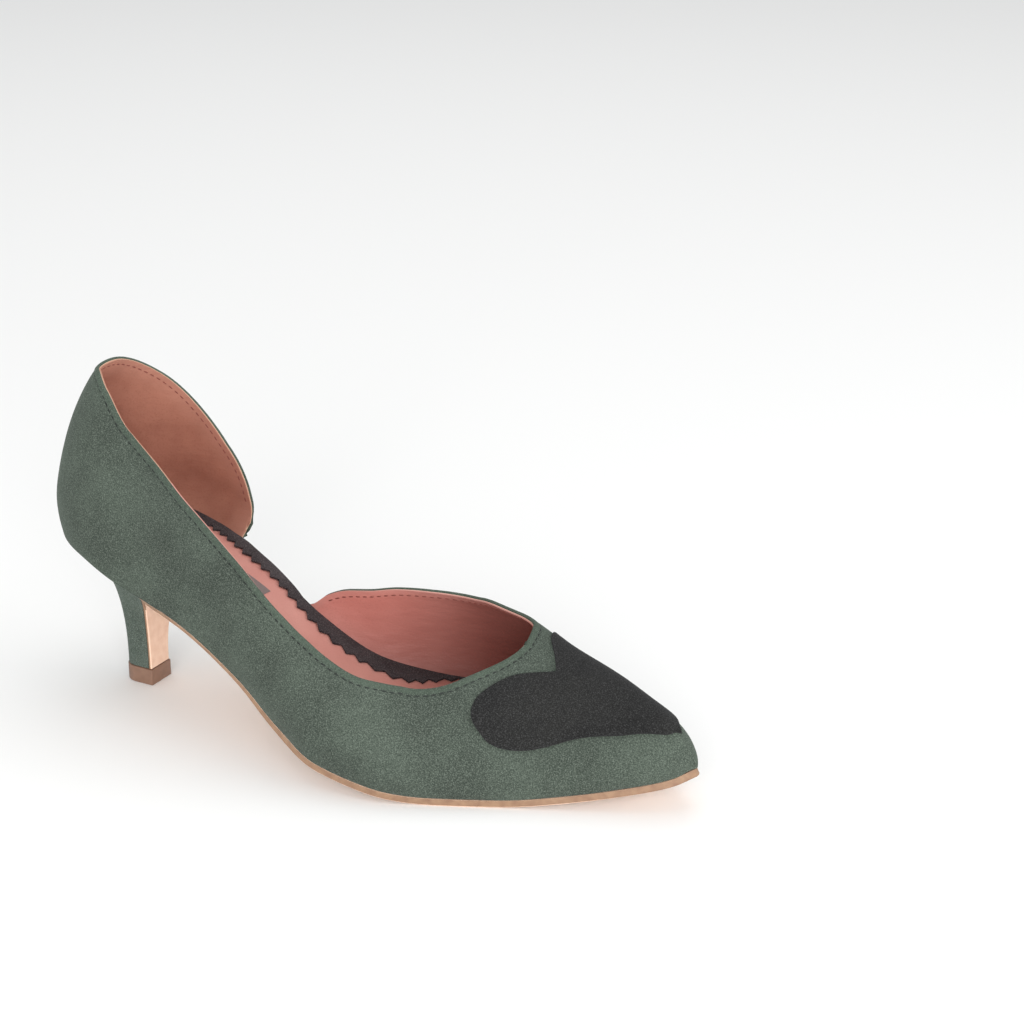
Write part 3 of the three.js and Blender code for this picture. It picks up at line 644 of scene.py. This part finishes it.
# Lining leather: drum-dyed, satin where it is finished and matt where it is buffed, with a fine
# grain, small creases and a paler cut edge at the top
def liningMaterial(name, look):
    material, tree, skin = newMaterial(name, {
        "Roughness": look["roughness"],
        "Specular IOR Level": 0.3,
        "Sheen Weight": look["sheen"],
        "Sheen Roughness": 0.5,
        "Sheen Tint": linear(look["light"]),
    })
    place = addNode(tree, "ShaderNodeTexCoord").outputs["Object"]
    broad = addNode(
        tree, "ShaderNodeTexNoise", {"Scale": 1 / (look["patch"] * mm), "Detail": 3.0},
        {"Vector": place})
    broadShare = addNode(
        tree, "ShaderNodeMapRange", {"From Min": 0.34, "From Max": 0.66},
        {"Value": broad.outputs["Fac"]})
    mixed = addNode(
        tree, "ShaderNodeMix", {6: linear(look["dark"]), 7: linear(look["light"])},
        {0: broadShare.outputs["Result"]}, data_type="RGBA")
    # Painted shade: from deepFrom to deepTo along the shoe the colour turns to deep, darker towards the
    # toe
    lengthwise = addNode(tree, "ShaderNodeSeparateXYZ", links={"Vector": place})
    paintedShadeShare = addNode(
        tree, "ShaderNodeMapRange", {"From Min": look["deepFrom"] * mm, "From Max": look["deepTo"] * mm},
        {"Value": lengthwise.outputs["X"]}, interpolation_type="SMOOTHSTEP")
    tone = addNode(
        tree, "ShaderNodeMix", {7: linear(look["deep"])},
        {0: paintedShadeShare.outputs["Result"], 6: mixed.outputs[2]}, data_type="RGBA")
    grain = addNode(
        tree, "ShaderNodeTexNoise", {"Scale": 1 / (look["grain"] * mm), "Detail": 3.0},
        {"Vector": place})
    speckShare = addNode(
        tree, "ShaderNodeMapRange", {"From Min": 0.52, "From Max": 0.8, "To Max": 0.4},
        {"Value": grain.outputs["Fac"]})
    specked = addNode(
        tree, "ShaderNodeMix", {7: linear(look["speck"])},
        {0: speckShare.outputs["Result"], 6: tone.outputs[2]}, data_type="RGBA")
    # Painted light: from rimBand to 0.8 mm under the top edge the colour turns towards rimColour,
    # lighter where light falls into the shoe. The cut edge's paler colour is the leather's own
    rim = addNode(tree, "ShaderNodeAttribute", attribute_name="rim")
    bandShare = addNode(
        tree, "ShaderNodeMapRange", {"From Min": look["rimBand"], "From Max": 0.8, "To Max": 0.6},
        {"Value": rim.outputs["Fac"]})
    banded = addNode(
        tree, "ShaderNodeMix", {7: linear(look["rimColour"])},
        {0: bandShare.outputs["Result"], 6: specked.outputs[2]}, data_type="RGBA")
    cutShare = addNode(
        tree, "ShaderNodeMapRange", {"From Min": look["cutAt"], "From Max": look["cutAt"] - 0.3},
        {"Value": rim.outputs["Fac"]})
    finished = addNode(
        tree, "ShaderNodeMix", {7: linear(look["cutColour"])},
        {0: cutShare.outputs["Result"], 6: banded.outputs[2]}, data_type="RGBA")
    tree.links.new(finished.outputs[2], skin.inputs["Base Color"])
    stretched = addNode(tree, "ShaderNodeMapping", {"Scale": (0.35, 1, 1.6)}, {"Vector": place})
    creases = addNode(
        tree, "ShaderNodeTexNoise", {"Scale": 1 / (look["crease"] * mm), "Detail": 4.0},
        {"Vector": stretched.outputs["Vector"]})
    grainBump = addNode(
        tree, "ShaderNodeBump", {"Strength": 0.3, "Distance": 0.12 * mm},
        {"Height": grain.outputs["Fac"]})
    creaseBump = addNode(
        tree, "ShaderNodeBump", {"Strength": look["creased"], "Distance": 0.6 * mm},
        {"Height": creases.outputs["Fac"], "Normal": grainBump.outputs["Normal"]})
    tree.links.new(creaseBump.outputs["Normal"], skin.inputs["Normal"])
    return material


# From deepFrom to deepTo, in millimetres ahead of the heel's tip, the colour turns darker, for the
# shade that the photo shows inside the toe
# rimColour is painted light along the lining's top edge
pinkLining = liningMaterial("pink_lining_leather", {
    "dark": "bf766b", "light": "d08a7f", "speck": "a86459", "rimColour": "cc968c", "rimBand": 3.4,
    "cutColour": "c9a695", "cutAt": 1.3, "deep": "7a4a42", "deepFrom": 62, "deepTo": 135,
    "patch": 30, "grain": 0.5, "crease": 5, "creased": 0.6, "roughness": 0.45, "sheen": 0.1,
})
# The counter's lining turns lighter over its top 9 mm: painted light
counterLining = liningMaterial("reversed_counter_leather", {
    "dark": "925f4e", "light": "a87360", "speck": "7d4d3d", "rimColour": "b88674", "rimBand": 9,
    "cutColour": "ceb398", "cutAt": 1.3, "deep": "a87360", "deepFrom": 200, "deepTo": 210,
    "patch": 18, "grain": 0.7, "crease": 3, "creased": 0.45, "roughness": 0.85, "sheen": 0.25,
})
# The sock turns darker from deepFrom to deepTo, towards the toe: painted shade under the vamp
sockLeather = liningMaterial("pink_sock_leather", {
    "dark": "c08277", "light": "cc9084", "speck": "b2756a", "rimColour": "cc9084", "rimBand": 1,
    "cutColour": "cc9084", "cutAt": 0.1, "deep": "8a5248", "deepFrom": 85, "deepTo": 140,
    "patch": 26, "grain": 0.45, "crease": 6, "creased": 0.15, "roughness": 0.5, "sheen": 0.1,
})


# The upper: suede folded in at the topline, with a seam a little under the fold
upperLook = {
    "thick": 0.9,
    "foldPuff": 0.2,
    "foldAt": 1.1,
    "foldWide": 0.8,
    "foldFlat": 0.7,        # the folded edge bulges by this share of half its thickness
    "seamAt": 2.3,
    "seamWide": 0.45,
    "seamDepth": 0.3,
    "foldSteps": 4,
    "lining": 0.6,
    "liningGap": 0.06,
    "liningLap": 0.03,      # the vamp's lining lies this much under the counter's
    "liningSteps": 2,
    "liningSeamAt": 2.1,
    "liningSeamDepth": 1.9,
    "toeGap": 3,            # the lining ends this far from the toe's point
    "counterEnd": 62,       # where the counter's lining meets the vamp's, from the back
}

# Soft folds, as in a shoe that was tried on: where, along what, how long, wide and deep
softFolds = [
    {"at": (176, -26, 30), "run": (1, -0.4, 0), "long": 16, "wide": 3.5, "deep": 0.35},
    {"at": (150, -38, 22), "run": (1, 0.1, 0.25), "long": 24, "wide": 5, "deep": 0.3},
    {"at": (24, -22, 88), "run": (0.5, -0.1, 1), "long": 14, "wide": 4, "deep": 0.35},
    {"at": (8, -16, 72), "run": (0.2, -0.2, 1), "long": 18, "wide": 5, "deep": -0.3},
    {"at": (70, -32, 50), "run": (1, 0, -0.5), "long": 26, "wide": 6, "deep": 0.3},
    {"at": (112, -42, 26), "run": (1, 0, -0.3), "long": 30, "wide": 6, "deep": -0.25},
    {"at": (150, 40, 24), "run": (1, -0.1, 0.2), "long": 26, "wide": 6, "deep": 0.3},
]


def foldAt(p):
    # p in millimetres from the counter's back
    height = 0
    for fold in softFolds:
        away = p - Vector(fold["at"])
        run = Vector(fold["run"]).normalized()
        along = away.dot(run) / fold["long"]
        across = (away - run * away.dot(run)).length / fold["wide"]
        height -= fold["deep"] * math.exp(-along ** 2 - across ** 2)
    return height


def relief(p):
    away = rimDistance(p)
    fromFold = (away - upperLook["foldAt"]) / upperLook["foldWide"]
    fromSeam = (away - upperLook["seamAt"]) / upperLook["seamWide"]
    puff = upperLook["foldPuff"] * math.exp(-fromFold ** 2)
    seam = upperLook["seamDepth"] * math.exp(-fromSeam ** 2)
    inLast = p / mm + Vector((last["tip"][0], last["tip"][1], 0))
    return (puff - seam + foldAt(inLast)) * mm


def foldedWall(sheet, thick, steps):
    # Gives the sheet its wall, and rounds it over along the topline
    faces = list(sheet.faces)
    verts = list(sheet.verts)
    normals = {v: v.normal.copy() for v in verts}
    shadow = {v: sheet.verts.new(v.co - normals[v] * thick) for v in verts}
    for f in faces:
        sheet.faces.new([shadow[v] for v in reversed(f.verts)])
    rim = [e for e in sheet.edges if len(e.link_faces) == 1 and e.verts[0] in shadow]
    isTop = {e: all(rimDistance(v.co) < 0.5 for v in e.verts) for e in rim}
    out = {}
    for e in rim:
        if isTop[e]:
            loop = next(l for l in e.link_loops)
            run = (loop.link_loop_next.vert.co - loop.vert.co).normalized()
            for v in e.verts:
                out[v] = out.get(v, Vector()) + run.cross(normals[v])
    arcs = {}
    for v, way in out.items():
        way.normalize()
        arc = [v]
        for i in range(1, steps):
            turn = math.pi * i / steps
            bulge = way * math.sin(turn) * upperLook["foldFlat"]
            shift = bulge - normals[v] * (1 - math.cos(turn))
            arc.append(sheet.verts.new(v.co + shift * thick / 2))
        arcs[v] = arc + [shadow[v]]
    for e in rim:
        loop = next(l for l in e.link_loops if l.face in set(e.link_faces))
        a = loop.vert
        b = loop.link_loop_next.vert
        if isTop[e]:
            for i in range(steps):
                sheet.faces.new([arcs[b][i], arcs[a][i], arcs[a][i + 1], arcs[b][i + 1]])
        else:
            sheet.faces.new([b, a, shadow[a], shadow[b]])
    bmesh.ops.holes_fill(sheet, edges=[e for e in sheet.edges if len(e.link_faces) == 1], sides=12)
    bmesh.ops.recalc_face_normals(sheet, faces=sheet.faces)


def shadeSoft(piece, degrees):
    pick(piece)
    bpy.ops.object.shade_smooth_by_angle(angle=math.radians(degrees))


suedeSheet = sheetMesh(ribStations)
lift = {v: relief(v.co) for v in suedeSheet.verts}
for vertex, height in lift.items():
    vertex.co += vertex.normal * height
suedeSheet.normal_update()
foldedWall(suedeSheet, upperLook["thick"] * mm, upperLook["foldSteps"])
upperSuede = newObject("upper_suede", suedeSheet)
shadeSoft(upperSuede, 60)
markRim(upperSuede, rimTree)
finishPiece(upperSuede, greenSuede, ["upper"])
print("upper", len(upperSuede.data.polygons))


def liningPiece(name, stations, depth, material):
    sheet = sheetMesh(stations)
    for v in sheet.verts:
        v.co -= v.normal * depth * mm
    sheet.normal_update()
    foldedWall(sheet, upperLook["lining"] * mm, upperLook["liningSteps"])
    piece = newObject(name, sheet)
    shadeSoft(piece, 50)
    markRim(piece, rimTree)
    finishPiece(piece, material, ["upper"])
    return piece


liningDepth = upperLook["thick"] + upperLook["liningGap"]
counterEnd = stationOf(upperLook["counterEnd"])
liningStations = [s for s in ribStations if s < stationOf(last["length"] - upperLook["toeGap"])]
behind = [s for s in liningStations if s <= counterEnd]
ahead = [s for s in liningStations if s >= behind[-1]]
counterPiece = liningPiece("counter_lining", behind, liningDepth, counterLining)
vampDepth = liningDepth + upperLook["liningLap"]
vampPiece = liningPiece("vamp_lining", ahead, vampDepth, pinkLining)
print("lining", len(counterPiece.data.polygons) + len(vampPiece.data.polygons))


def faceTree(pieces):
    # The surface of some pieces, for laying others on it
    points = []
    faces = []
    for piece in pieces:
        start = len(points)
        points += [v.co.copy() for v in piece.data.vertices]
        faces += [[start + i for i in p.vertices] for p in piece.data.polygons]
    return BVHTree.FromPolygons(points, faces)


suedeFace = faceTree([upperSuede])
liningFace = faceTree([counterPiece, vampPiece])


# The heart: a cut-out of charcoal suede with a raw edge, glued on the toe
heartLook = {
    "thick": 0.75,
    "lift": 0.08,
    "edgeSteps": 110,
    "fanSteps": 22,
    "edge": 0.22,
    "pressed": 7,           # the tip is pressed down into the suede over this length
    "pressedShare": 0.15,
}
# Seen from above, from the cleft to the tip: shares of the length and of the ball's width
heartLobes = {
    outer: [
        (0.784, 0.062), (0.759, 0.004), (0.738, -0.06), (0.721, -0.146), (0.712, -0.215),
        (0.715, -0.267), (0.732, -0.289), (0.754, -0.289), (0.797, -0.235), (0.859, -0.133),
        (0.905, -0.082), (0.93, -0.057), (0.959, -0.037), (0.97, -0.02), (0.978, 0.012),
    ],
    inner: [
        (0.784, 0.062), (0.77, 0.13), (0.748, 0.22), (0.741, 0.31), (0.75, 0.38), (0.775, 0.41),
        (0.81, 0.39), (0.855, 0.315), (0.9, 0.225), (0.95, 0.105), (0.978, 0.012),
    ],
}


def smoothPath(corners, steps):
    # A smooth path through the corners, as points an even step apart
    path = []
    for i in range(len(corners) - 1):
        before = corners[max(i - 1, 0)]
        a, b = corners[i], corners[i + 1]
        after = corners[min(i + 2, len(corners) - 1)]
        for k in range(16):
            t = k / 16
            path.append((
                a * 2 + (b - before) * t + (before * 2 - a * 5 + b * 4 - after) * t ** 2
                + (a * 3 - before - b * 3 + after) * t ** 3) / 2)
    path.append(corners[-1])
    length = sum((b - a).length for a, b in zip(path, path[1:]))
    return evenly(path, length / steps * 0.9999)[:steps + 1]


def onSuede(x, y):
    top = toScene(Vector((x, y, 100)))
    return suedeFace.ray_cast(top, Vector((0, 0, -1)))[0]


def heartMesh():
    sheet = bmesh.new()
    edge = []
    for side, lobe in heartLobes.items():
        corners = [Vector((a * last["length"], b * last["ballWidth"], 0)) for a, b in lobe]
        outline = smoothPath(corners, heartLook["edgeSteps"])
        rows = []
        for i, p in enumerate(outline):
            spine = corners[0].lerp(corners[-1], i / (len(outline) - 1))
            shares = [k / heartLook["fanSteps"] for k in range(heartLook["fanSteps"] + 1)]
            places = [spine.lerp(p, share) for share in shares]
            rows.append([sheet.verts.new(onSuede(q.x, q.y)) for q in places])
        edge += [row[-1] for row in rows]
        for rowA, rowB in zip(rows, rows[1:]):
            for k in range(heartLook["fanSteps"]):
                corners = [rowA[k], rowB[k], rowB[k + 1], rowA[k + 1]]
                sheet.faces.new(corners if side == inner else corners[::-1])
    edgeTree = treeOf([v.co.copy() for v in edge])
    tipPlace = edge[-1].co.copy()
    bmesh.ops.remove_doubles(sheet, verts=sheet.verts, dist=0.01 * mm)
    for turn in range(2):
        bmesh.ops.smooth_vert(
            sheet, verts=[v for v in sheet.verts if not v.is_boundary], factor=0.5,
            use_axis_x=False, use_axis_y=False, use_axis_z=True)
    sheet.normal_update()
    lift = {}
    for v in sheet.verts:
        near = smooth(1 - shareAt((v.co - tipPlace).length / mm, 0, heartLook["pressed"]))
        thick = heartLook["thick"] * mix(1, heartLook["pressedShare"], near)
        lift[v] = v.normal * (heartLook["lift"] + thick) * mm
    for v, way in lift.items():
        v.co += way
    return sheet, edgeTree


heartSheet, heartEdge = heartMesh()
heart = newObject("heart_cutout", heartSheet)
addModifier(heart, "SOLIDIFY", thickness=heartLook["thick"] * mm, offset=-1)
addModifier(
    heart, "BEVEL", width=heartLook["edge"] * mm, segments=2, limit_method="ANGLE",
    angle_limit=math.radians(60))
shadeSoft(heart, 50)
markRim(heart, heartEdge)
finishPiece(heart, charcoalSuede, ["heart_overlay"])
print("heart", len(heart.data.polygons))


# Pieces whose CAD shape only needs a finer, rounder surface
def roundedCopy(node, name, edge, levels, sharp=35):
    pick(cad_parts[node])
    bpy.ops.object.duplicate()
    piece = bpy.context.active_object
    piece.name = name
    piece.data.name = name
    piece.parent = None
    for key in list(piece.keys()):
        del piece[key]
    bpy.ops.object.mode_set(mode="EDIT")
    bpy.ops.mesh.select_all(action="SELECT")
    bpy.ops.mesh.remove_doubles(threshold=0.001 * mm)
    bpy.ops.mesh.tris_convert_to_quads(
        face_threshold=math.radians(25), shape_threshold=math.radians(120))
    bpy.ops.mesh.select_all(action="DESELECT")
    bpy.ops.mesh.select_mode(type="EDGE")
    bpy.ops.mesh.edges_select_sharp(sharpness=math.radians(sharp))
    if edge:
        bpy.ops.mesh.bevel(offset=edge * mm, segments=2, profile=0.6, clamp_overlap=True)
    bpy.ops.object.mode_set(mode="OBJECT")
    if levels:
        addModifier(piece, "SUBSURF", levels=levels, render_levels=levels)
    shadeSoft(piece, 40)
    return piece


# Sole leather: vegetable-tanned and waxed, a little shiny, with a sanded and stained edge
def soleMaterial(name, light, dark, gloss):
    material, tree, skin = newMaterial(name, {"Roughness": gloss, "Specular IOR Level": 0.4})
    place = addNode(tree, "ShaderNodeTexCoord").outputs["Object"]
    fibre = addNode(
        tree, "ShaderNodeTexNoise", {"Scale": 1 / (3 * mm), "Detail": 5.0}, {"Vector": place})
    share = addNode(
        tree, "ShaderNodeMapRange", {"From Min": 0.35, "From Max": 0.7}, {"Value": fibre.outputs["Fac"]})
    tone = addNode(
        tree, "ShaderNodeMix", {6: linear(light), 7: linear(dark)}, {0: share.outputs["Result"]},
        data_type="RGBA")
    tree.links.new(tone.outputs[2], skin.inputs["Base Color"])
    bump = addNode(
        tree, "ShaderNodeBump", {"Strength": 0.15, "Distance": 0.2 * mm},
        {"Height": fibre.outputs["Fac"]})
    tree.links.new(bump.outputs["Normal"], skin.inputs["Normal"])
    return material


soleLeather = soleMaterial("waxed_sole_leather", "ecccb6", "e2bea6", 0.45)
soleEdge = soleMaterial("stained_sole_edge", "9a7a60", "866650", 0.5)
tipRubber = soleMaterial("moulded_tan_rubber", "866756", "7c5e4d", 0.45)

outsole = roundedCopy("outsole", "outsole_leather", 0.12, 2)
finishPiece(outsole, soleLeather, ["outsole"])
outsole.data.materials.append(soleEdge)
# The breast flap lies behind and below these places. A face is an edge if it looks sideways.
soleFaces = {"breastEnd": 32, "breastTop": 36, "flat": 0.6, "sideways": 0.7}
for face in outsole.data.polygons:
    place = face.center / mm
    normal = face.normal
    onBreast = place.x < soleFaces["breastEnd"] and place.z < soleFaces["breastTop"]
    flat = abs(normal.x if onBreast else normal.z)
    sideways = abs(normal.y) + abs(normal.x)
    isEdge = flat < soleFaces["flat"] and sideways > soleFaces["sideways"]
    face.material_index = 1 if isEdge else 0

heel = roundedCopy("heel", "heel_cover", 0.2, 2)
markRim(heel, rimTree)
finishPiece(heel, heelSuede, ["heel"])
sock = roundedCopy("insole", "sock", 0.3, 1)
markRim(sock, rimTree)
finishPiece(sock, sockLeather, ["insole"])
wrap = roundedCopy("insole_wrap", "pinked_wrap", 0.08, 0)
markRim(wrap, rimTree)
finishPiece(wrap, wrapSuede, ["insole_wrap"])
print("sole, heel and sock")


# Top piece: a D of rubber, round at the back and flat at the front
tipLook = {"high": 6, "round": 5.6, "middle": -0.9, "front": 6.5, "bevel": 0.35}
bpy.ops.mesh.primitive_cylinder_add(
    vertices=96, radius=tipLook["round"] * mm, depth=tipLook["high"] * mm,
    location=(tipLook["middle"] * mm, 0, tipLook["high"] / 2 * mm))
tip = bpy.context.active_object
tip.name = "rubber_top_piece"
bpy.ops.object.transform_apply(location=True, rotation=True, scale=True)
bpy.ops.object.mode_set(mode="EDIT")
bpy.ops.mesh.select_all(action="SELECT")
bpy.ops.mesh.bisect(
    plane_co=(tipLook["middle"] * mm, 0, 0), plane_no=(1, 0, 0), use_fill=True, clear_outer=True)
bpy.ops.mesh.extrude_region_move(
    TRANSFORM_OT_translate={"value": ((tipLook["front"] - tipLook["middle"]) * mm, 0, 0)})
bpy.ops.mesh.select_all(action="SELECT")
bpy.ops.mesh.normals_make_consistent(inside=False)
bpy.ops.mesh.select_all(action="DESELECT")
bpy.ops.mesh.select_mode(type="EDGE")
bpy.ops.mesh.edges_select_sharp(sharpness=math.radians(40))
bpy.ops.mesh.bevel(offset=tipLook["bevel"] * mm, segments=3, clamp_overlap=True)
bpy.ops.object.mode_set(mode="OBJECT")
shadeSoft(tip, 40)
finishPiece(tip, tipRubber, ["top_piece"])


# Stitches: twisted thread, laid in a row along the topline, below its fold
seamLook = {
    "pitch": 2.7,
    "long": 1.75,
    "wide": 0.5,
    "high": 0.36,
    "leastTurn": 0.12,      # the seam ends where the wall is lower than this turn
    "stepDown": 0.02,
    "stepAhead": 0.002,
}


def edgeFrames():
    # Along the topline: a point, the way down the wall and the way out of it
    frames = []
    throatStation = stationOf(last["throat"])
    for side, station, turn in toplinePlaces():
        if turn < seamLook["leastTurn"]:
            continue
        p = toScene(turnPoint(side, station, turn))
        down = toScene(turnPoint(side, station, turn - seamLook["stepDown"])) - p
        ahead = toScene(turnPoint(side, station + seamLook["stepAhead"], turn)) - p
        normal = ahead.cross(down).normalized() * side
        onLip = side == outer and abs(station - throatStation) < tiny
        frames.append((p, ahead if onLip else down, normal))
    return frames


def seamSpots(away, depth, surface):
    # Places along a line that lies so far below the topline
    frames = edgeFrames()
    line = []
    for i, (p, down, normal) in enumerate(frames):
        run = frames[min(i + 1, len(frames) - 1)][0] - frames[max(i - 1, 0)][0]
        way = down - run * down.dot(run) / run.length_squared
        line.append(p + way.normalized() * away * mm - normal * depth * mm)
    spots = []
    places = evenly(line, seamLook["pitch"] * mm)
    for a, b in zip(places, places[1:]):
        found, normal = surface.find_nearest(a)[:2]
        spots.append((found, (b - a).normalized(), normal))
    return spots


def seam(name, spots, material):
    bpy.ops.mesh.primitive_uv_sphere_add(segments=8, ring_count=8, radius=0.5)
    stitch = bpy.context.active_object
    stitch.rotation_euler = (0, math.pi / 2, 0)
    bpy.ops.object.transform_apply(rotation=True)
    stitch.scale = (seamLook["long"] * mm, seamLook["wide"] * mm, seamLook["high"] * mm)
    bpy.ops.object.transform_apply(scale=True)
    copies = []
    for place, run, normal in spots:
        across = normal.cross(run).normalized()
        copy = stitch.copy()
        bpy.context.scene.collection.objects.link(copy)
        axes = Matrix((across.cross(normal), across, normal)).transposed().to_4x4()
        copy.matrix_world = Matrix.Translation(place) @ axes
        copies.append(copy)
    bpy.ops.object.select_all(action="DESELECT")
    stitch.select_set(True)
    bpy.ops.object.delete()
    for copy in copies:
        copy.select_set(True)
    bpy.context.view_layer.objects.active = copies[0]
    bpy.ops.object.make_single_user(object=True, obdata=True)
    bpy.ops.object.join()
    piece = bpy.context.active_object
    piece.name = name
    bpy.ops.object.transform_apply(location=True, rotation=True, scale=True)
    shadeSoft(piece, 60)
    finishPiece(piece, material)
    print(name, len(spots))


# Waxed polyester thread: smooth enough for a small soft highlight
greenThread = newMaterial(
    "waxed_green_thread", {"Roughness": 0.6, "Base Color": linear("151d18")})[0]
pinkThread = newMaterial(
    "waxed_pink_thread", {"Roughness": 0.6, "Base Color": linear("7c4238")})[0]
seam("topline_stitches", seamSpots(upperLook["seamAt"], 0, suedeFace), greenThread)
liningSpots = seamSpots(upperLook["liningSeamAt"], upperLook["liningSeamDepth"], liningFace)
seam("lining_stitches", liningSpots, pinkThread)


# A plain printed patch on the sock, worn and without any print left
patchLook = {
    "corners": [(59.4, 10.5), (75.5, 9.3), (74.9, 2.2), (58.8, 3.4)],
    "steps": 12,
    "above": 90,            # it is laid on the sock from this height
    "lift": 0.12,
    "thick": 0.1,
}
sockFace = faceTree([sock])
patchCorners = [Vector(corner) for corner in patchLook["corners"]]
patchSheet = bmesh.new()
steps = patchLook["steps"]
rows = []
for i in range(steps + 1):
    a = patchCorners[0].lerp(patchCorners[1], i / steps)
    b = patchCorners[3].lerp(patchCorners[2], i / steps)
    row = []
    for k in range(steps + 1):
        spot = a.lerp(b, k / steps)
        above = toScene(Vector((spot.x, spot.y, patchLook["above"])))
        found = sockFace.ray_cast(above, Vector((0, 0, -1)))[0]
        row.append(patchSheet.verts.new(found + Vector((0, 0, patchLook["lift"] * mm))))
    rows.append(row)
for rowA, rowB in zip(rows, rows[1:]):
    for k in range(steps):
        patchSheet.faces.new([rowA[k + 1], rowB[k + 1], rowB[k], rowA[k]])
patch = newObject("plain_patch", patchSheet)
addModifier(patch, "SOLIDIFY", thickness=patchLook["thick"] * mm, offset=0)
patchInk = newMaterial("worn_grey_print", {"Roughness": 0.6, "Base Color": linear("746561")})[0]
finishPiece(patch, patchInk)
print("stitches and patch")
